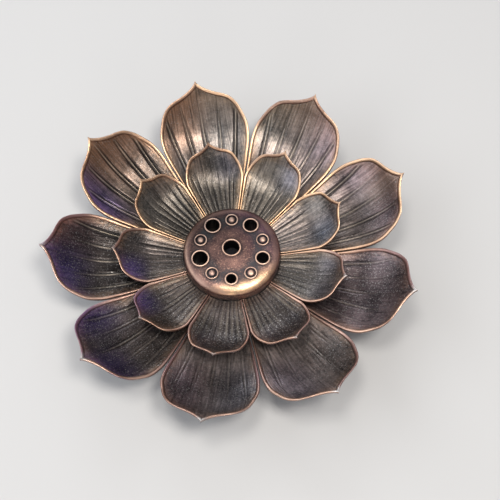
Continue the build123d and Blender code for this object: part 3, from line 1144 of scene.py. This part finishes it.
def petal_face(tree, where, marks, tone_and_reflection, front, grains):
    """Colour of a petal's face, with its painted light and shade."""
    film = use_group(tree, patina, {
        "Place": where, "Cloud Size": 140.0, "Dark": DARK_FILM, "Warm": WARM_FILM, "Warm Share": 0.6,
    })
    # The level paints light and shade onto each petal.
    face = tinted(tree, film["Colour"], marks["film_and_light_level"])
    halo = between(tree, film["Cloud"], *HALO_CLOUDS, *HALO_SHARES)
    face = layer(tree, face, BROWN_FILM, marks["brim"], halo)
    at_back = between(tree, front, *BROWN_BACK, *BROWN_SHARES)
    face = layer(tree, face, TIP_FILM, between(tree, marks["along"], *BROWN_TIP_MM), at_back)
    # The tone holds the film's colour and painted reflections of cool light.
    face = tinted(tree, face, tone_and_reflection)
    strong_streaks = between(tree, grains["Streak"], *STREAK_RANGE, *STRONG_STREAKS)
    soft_streaks = between(tree, grains["Streak"], *STREAK_RANGE, *SOFT_STREAKS)
    face = tinted(tree, face, blend(tree, front, strong_streaks, soft_streaks))
    specks = between(tree, front, 0.0, 1.0, *SPECK_SHARES)
    face = layer(tree, face, PALE_SPECK, grains["Speck"], specks)
    # Ridges and crests: rubbed copper with a painted highlight.
    face = layer(tree, face, CREST_WEAR_AND_HIGHLIGHT, marks["ridge"], CREST_SHARE)
    # Grooves keep the blackest film; the same mark paints shade just inside the rim.
    return layer(tree, face, BLACK_FILM, marks["groove"], GROOVE_SHARE)


print("streaks run along each petal, scales", BRUSH_SCALES)

# %% [markdown]
# The rim is rubbed back to copper. Where it is dull it keeps some of the petal's tone; this dullness is
# partly the film and partly painted shade on rims that face away from the light. The points of the front
# petals are worn to white metal. Streaks also make the face a little rougher or smoother.

# %% Material for the petals
FRONT_REACH = (-0.4, 0.4)
EDGE_SHARES, DULL_TONE, DULL_THIN = (1.12, 0.75), 0.5, 0.5
WHITE_REACH, WHITE_RIM = (0.955, 0.985), (0.3, 0.8)
ROUGH_STREAKS, FILM_ROUGHNESS, WORN_ROUGHER = (0.3, 0.7), (0.27, 0.39), 0.06
FILM_METALLIC = 0.8


def petal_finish():
    """The material that both tiers share."""
    material, tree, surface, where = start_material("antique copper petals")
    marks = {name: mark(tree, name) for name in MARKS}
    rim, dull_and_shade = marks["rim"], marks["dull_and_shade"]
    parts = [marks[name] for name in ("red", "green", "blue")]
    tone_and_reflection = add(tree, "ShaderNodeCombineColor", dict(enumerate(parts)))[0]
    scaled = [times(tree, marks[name], scale) for name, scale in BRUSH_SCALES.items()]
    brush = add(tree, "ShaderNodeCombineXYZ", dict(enumerate(scaled)))[0]
    grains = use_group(tree, grain, {"Place": where, "Brush Place": brush})
    heading = vector_node(tree, "NORMALIZE", vector_node(tree, "MULTIPLY", where, IN_PLAN)[0])[0]
    front = toward(tree, heading, FRONT, *FRONT_REACH)
    face = petal_face(tree, where, marks, tone_and_reflection, front, grains)
    edge = times(tree, rim, between(tree, dull_and_shade, 0.0, 1.0, *EDGE_SHARES))
    worn = use_group(tree, wear, {"Place": where, "Edge": edge, "Patch Size": 130.0})
    # Painted shade: dull rims get a darker copper, tinted by the petal's tone.
    dull_shaded_rim = tinted(tree, DULL_SHADED_COPPER, blend(tree, DULL_TONE, WHITE, tone_and_reflection))
    face = layer(tree, face, layer(tree, RED_FILM, dull_shaded_rim, dull_and_shade, DULL_THIN), worn["Thin"])
    copper = blend(tree, front, COPPER, PALE_COPPER)
    face = layer(tree, face, layer(tree, copper, dull_shaded_rim, dull_and_shade), worn["Bright"])
    at_tip = between(tree, marks["reach"], *WHITE_REACH)
    streaky = between(tree, grains["Streak"], *ROUGH_STREAKS, *FILM_ROUGHNESS)
    fill(tree, surface, {
        "Base Color": layer(tree, face, WHITE_METAL, at_tip, between(tree, rim, *WHITE_RIM), front),
        "Roughness": math_node(tree, "MULTIPLY_ADD", worn["Bright"], WORN_ROUGHER, streaky),
        "Metallic": between(tree, worn["Bright"], 0.0, 1.0, FILM_METALLIC, 1.0),
        "Normal": relief(tree, grains["Height"], 0.5, 0.14),
    })
    return material


petal_metal = petal_finish()
outer_tier.data.materials.append(petal_metal)
inner_tier.data.materials.append(petal_metal)
print("petals finished in", petal_metal.name)

# %% [markdown]
# ## Finish of the pod
# The pod has been handled more than the petals, so its film is thinner and redder, with slate between the
# holes. One side of the shoulder is rubbed to copper, which is also a painted highlight, and a painted
# highlight runs as a thin bright line along the other. Rings and beads are bright, and the film stays dark
# round their feet and down the wall to the seat. The whole pod is painted darker towards its far left and
# lighter towards its near right, as painted shade and light, and its rings get a dim and a lit copy of
# their colour the same way. Distances in these masks are in metres.

# %% Material for the pod
POD_DARK, POD_WARM = (0.055, 0.041, 0.042, 1), (0.27, 0.155, 0.125, 1)
POD_VIOLET, POD_SPECK = (0.20, 0.105, 0.15, 1), (0.52, 0.32, 0.24, 1)
POD_SLATE, POD_BLACK = (0.098, 0.104, 0.112, 1), (0.022, 0.024, 0.029, 1)
THIN_COPPER, RUBBED_COPPER_SHEEN = (0.46, 0.285, 0.235, 1), (0.66, 0.42, 0.24, 1)
PAINTED_EDGE_HIGHLIGHT, DIM_RING, LIT_RING = (0.6, 0.4, 0.3, 1), (0.5, 0.36, 0.3, 1), (0.84, 0.59, 0.45, 1)
BRUSH_EVEN = (900.0, 900.0, 900.0)
VIOLET_SIDE, RUBBED_SHEEN_SIDE = (0.556, 0.831, 0.0), (0.66, -0.751, 0.0)
LIT_SIDE, LEFT_SIDE = (0.76, -0.65, 0.0), (-0.79, -0.61, 0.0)
VIOLET_REACH, VIOLET_SHARES = (0.002, 0.012), (0.1, 0.9)
SLATE_RADIUS, SLATE_EDGE, SLATE_CLOUDS, SLATE_SHARES = 0.0078, (0.0009, 0.0026), (0.2, 0.75), (0.85, 0.1)
# The rubbed side of the shoulder: worn copper that is also a painted highlight where the lamps catch it.
RUBBED_SHEEN_REACH, RUBBED_SHEEN_RISE, RUBBED_SHEEN_FALL = (0.0068, 0.0108), (0.0082, 0.0105), (0.0119, 0.0124)
RUBBED_SHEEN_CLOUDS, RUBBED_SHEEN_STREAKS, RUBBED_SHEEN_SHARES = (0.0, 0.6), (0.35, 0.6), (0.45, 1.0)
# A painted highlight: a thin bright line along the near left of the shoulder.
LINE_REACH, LINE_RISE, LINE_FALL = (0.0065, 0.0115), (0.0111, 0.0117), (0.0118, 0.0122)
POD_SPECK_SHARE, THIN_SHARE, BLACK_SHARE, LINE_SHARE = 0.7, 0.85, 0.96, 0.55
# Painted light and shade across the pod, and the dim and lit ring colours chosen by it.
LIT_REACH, LIT_LEVELS, RING_SHARES = (-0.0105, 0.0075), (0.38, 1.35), (0.0, 0.6)
ROUGH_RADII, POD_ROUGHNESS, RUBBED_SMOOTHER = (0.006, 0.0105), (0.6, 0.44), 0.1


def pod_film(tree, where, outward, grains):
    """Colour of the pod's film before it is rubbed, and its clouds."""
    violet_side = toward(tree, where, VIOLET_SIDE, *VIOLET_REACH)
    violet = between(tree, violet_side, 0.0, 1.0, *VIOLET_SHARES)
    film = use_group(tree, patina, {
        "Place": where, "Cloud Size": 300.0, "Dark": POD_DARK, "Warm": POD_WARM,
        "Violet": POD_VIOLET, "Warm Share": 0.9, "Violet Share": violet,
    })
    face = layer(tree, film["Colour"], POD_SPECK, grains["Speck"], POD_SPECK_SHARE)
    from_holes = math_node(tree, "ABSOLUTE", math_node(tree, "SUBTRACT", outward, SLATE_RADIUS))
    band = between(tree, from_holes, *SLATE_EDGE, 1.0, 0.0)
    patchy = between(tree, film["Cloud"], *SLATE_CLOUDS, *SLATE_SHARES)
    return layer(tree, face, POD_SLATE, band, patchy), film["Cloud"]


def ring_mask(tree, outward, rise, fall, most=1.0):
    """A mask of a ring about the axis, which rises and falls between pairs of radii."""
    return times(tree, between(tree, outward, *rise), between(tree, outward, *fall, most, 0.0))


def pod_rubbed_sheen(tree, where, outward, cloud, grains):
    """A mask of the side of the shoulder that is rubbed to copper and painted with a highlight."""
    shoulder = ring_mask(tree, outward, RUBBED_SHEEN_RISE, RUBBED_SHEEN_FALL)
    patchy = between(tree, cloud, *RUBBED_SHEEN_CLOUDS, *RUBBED_SHEEN_SHARES)
    streaky = between(tree, grains["Streak"], *RUBBED_SHEEN_STREAKS, *RUBBED_SHEEN_SHARES)
    return times(tree, toward(tree, where, RUBBED_SHEEN_SIDE, *RUBBED_SHEEN_REACH), shoulder, patchy, streaky)


def pod_finish():
    """The material of the pod."""
    material, tree, surface, where = start_material("antique copper pod")
    brush = vector_node(tree, "MULTIPLY", where, BRUSH_EVEN)[0]
    grains = use_group(tree, grain, {"Place": where, "Brush Place": brush, "Sand Size": 2300.0})
    outward = vector_node(tree, "LENGTH", vector_node(tree, "MULTIPLY", where, IN_PLAN)[0])["Value"]
    face, cloud = pod_film(tree, where, outward, grains)
    worn = use_group(tree, wear, {"Place": where, "Edge": mark(tree, "rim"), "Patch Size": 260.0})
    face = layer(tree, face, THIN_COPPER, worn["Thin"], THIN_SHARE)
    # Painted highlight: rubbed copper on the near right of the shoulder, where the highlight falls.
    rubbed_sheen = pod_rubbed_sheen(tree, where, outward, cloud, grains)
    face = layer(tree, face, RUBBED_COPPER_SHEEN, rubbed_sheen)
    face = layer(tree, face, POD_BLACK, mark(tree, "groove"), BLACK_SHARE)
    # Painted light and shade: darker towards the far left, lighter towards the near right.
    lit = toward(tree, where, LIT_SIDE, *LIT_REACH)
    face = tinted(tree, face, between(tree, lit, 0.0, 1.0, *LIT_LEVELS))
    # Painted highlight: a thin bright copper line along the near left of the shoulder.
    line = ring_mask(tree, outward, LINE_RISE, LINE_FALL, LINE_SHARE)
    face = layer(tree, face, PAINTED_EDGE_HIGHLIGHT, toward(tree, where, LEFT_SIDE, *LINE_REACH), line)
    # Painted light: the rings get a dim copy of their copper on the far left and a lit one on the near
    # right.
    ring = blend(tree, between(tree, lit, *RING_SHARES), DIM_RING, LIT_RING)
    rough = between(tree, outward, *ROUGH_RADII, *POD_ROUGHNESS)
    fill(tree, surface, {
        "Base Color": layer(tree, face, ring, worn["Bright"]),
        "Roughness": math_node(tree, "SUBTRACT", rough, times(tree, rubbed_sheen, RUBBED_SMOOTHER)),
        "Normal": relief(tree, grains["Height"], 0.55, 0.16),
    })
    return material


pod_metal = pod_finish()
pod.data.materials.append(pod_metal)
print("pod finished in", pod_metal.name)

# %% [markdown]
# ## Screw and washer
# Under the hub a pan-head screw and its washer hold the castings together. Their construction shapes are
# right, so they stay as they are and only get a plated-steel finish with fine turning marks.

# %% Material for the steel pieces
STEEL, STEEL_SPECK = (0.58, 0.57, 0.55, 1), (0.42, 0.40, 0.37, 1)


def steel_finish():
    """The material of the screw and its washer."""
    material, tree, surface, where = start_material("plated steel", 0.32)
    grains = use_group(tree, grain, {"Place": where, "Brush Place": where, "Sand Size": 2500.0})
    turning = {"Vector": where, "Scale": 900.0, "Distortion": 0.6}
    rings = add(tree, "ShaderNodeTexWave", turning, wave_type="RINGS", rings_direction="Z")["Fac"]
    fill(tree, surface, {
        "Base Color": blend(tree, grains["Speck"], STEEL, STEEL_SPECK),
        "Normal": relief(tree, rings, 0.12, 0.05),
    })
    return material


steel = steel_finish()
for node in ("fixing_screw", "screw_washer"):
    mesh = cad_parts[node].data
    mesh.materials.clear()
    mesh.materials.append(steel)
print("steel pieces finished")

# %% [markdown]
# ## Joining the frame
# Every piece rides on the one body of the construction model, and stands for its node.

# %% Pieces onto the frame
for piece, node, finish in (
    (outer_tier, "outer_petal_tier", "antique_copper_petals"),
    (inner_tier, "inner_petal_tier", "antique_copper_petals"),
    (pod, "seed_pod", "antique_copper_pod"),
):
    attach(piece, "root")
    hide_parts(node)
    print(piece.name, "stands for", node)

# %% [markdown]
# ## Floor and light
# The flower stands on a plain pale floor. Two soft lamps overhead draw bright lines on the rims, a wide one
# at the left, one behind and one low in front light the hollow petals, and a soft room fills in the rest.
# The lamps are placed as the camera sees them: left and right, near and far, and up.

# %% Floor and light
FLOOR_HALF, FLOOR_ROUGHNESS = 3.0, 0.8
FLOOR_COLOUR, ROOM_COLOUR, ROOM_STRENGTH = (0.62, 0.615, 0.61, 1), (0.9, 0.92, 1.0, 1), 0.33
WARM, COOL = (1.0, 0.96, 0.9), (0.92, 0.96, 1.0)
LAMPS = (
    ("right_overhead_lamp", (150, -110, 540), (140, 140), 1.4, WARM),
    ("left_overhead_lamp", (-60, 0, 550), (140, 140), 0.8, WARM),
    ("left_lamp", (-440, 0, 330), (800, 300), 1.5, COOL),
    ("back_lamp", (-60, 540, 290), (320, 340), 0.7, COOL),
    ("low_lamp", (-40, -600, 170), (260, 260), 0.6, WARM),
)
VIEW_TURN = math.radians(19.33)
turn_to_view = Matrix.Rotation(VIEW_TURN, 4, "Z")


def make_floor():
    """A large pale floor for the view only."""
    mesh = bpy.data.meshes.new("floor")
    corners = [(FLOOR_HALF * x, FLOOR_HALF * y, 0) for x, y in ((-1, -1), (1, -1), (1, 1), (-1, 1))]
    mesh.from_pydata(corners, [], [(0, 1, 2, 3)])
    floor = bpy.data.objects.new("floor", mesh)
    bpy.context.scene.collection.objects.link(floor)
    material, tree, surface, _ = start_material("pale floor", FLOOR_ROUGHNESS, metallic=0.0)
    fill(tree, surface, {"Base Color": FLOOR_COLOUR})
    mesh.materials.append(material)


def add_lamp(name, place_mm, size_mm, watts, tint):
    """A soft lamp that shines at the middle of the flower's foot."""
    light = bpy.data.lights.new(name, "AREA")
    light.shape = "RECTANGLE"
    light.size, light.size_y = (side * MM for side in size_mm)
    light.energy = watts
    light.color = tint
    lamp = bpy.data.objects.new(name, light)
    lamp.location = turn_to_view @ (Vector(place_mm) * MM)
    lamp.rotation_euler = lamp.location.to_track_quat("Z", "Y").to_euler()
    bpy.context.scene.collection.objects.link(lamp)


make_floor()
for lamp_values in LAMPS:
    add_lamp(*lamp_values)
world = bpy.data.worlds.new("soft room")
world.use_nodes = True
room = world.node_tree.nodes["Background"].inputs
fill(world.node_tree, room, {"Color": ROOM_COLOUR, "Strength": ROOM_STRENGTH})
bpy.context.scene.world = world
bpy.context.scene.view_settings.view_transform = "Standard"
print("floor,", len(LAMPS), "lamps and a soft room")

# %% [markdown]
# ## Camera
# The camera looks down steeply, as in the photograph. Its height angle, distance and small tilt were
# measured from the rims of the two tiers. Three directions at right angles, to the right, up and back from
# the view, make its rotation.

# %% Camera
ELEVATION = math.radians(64.32)
ROLL = math.radians(1.63)
DISTANCE = 261.16
OFF_RIGHT, OFF_UP = -4.68, 0.23
LENS, SENSOR_WIDTH, NEAREST = 74.1, 36, 0.01
AIM_HEIGHT = 10.5
back = Vector((0, -math.cos(ELEVATION), math.sin(ELEVATION)))
level_right = Vector((1, 0, 0))
level_up = Vector((0, math.sin(ELEVATION), math.cos(ELEVATION)))
right = level_right * math.cos(ROLL) - level_up * math.sin(ROLL)
up = level_right * math.sin(ROLL) + level_up * math.cos(ROLL)
place = back * DISTANCE - right * OFF_RIGHT - up * OFF_UP + Vector((0, 0, AIM_HEIGHT))
camera_data = bpy.data.cameras.new("camera")
camera_data.sensor_width = SENSOR_WIDTH
camera_data.lens = LENS
camera_data.clip_start = NEAREST
camera = bpy.data.objects.new("camera", camera_data)
axes = Matrix((right, up, back)).transposed().to_4x4()
camera.matrix_world = turn_to_view @ Matrix.Translation(place * MM) @ axes
bpy.context.scene.collection.objects.link(camera)
bpy.context.scene.camera = camera
print("camera at", [round(v / MM) for v in camera.matrix_world.translation], "mm")

# %% Last update of the scene
bpy.context.view_layer.update()
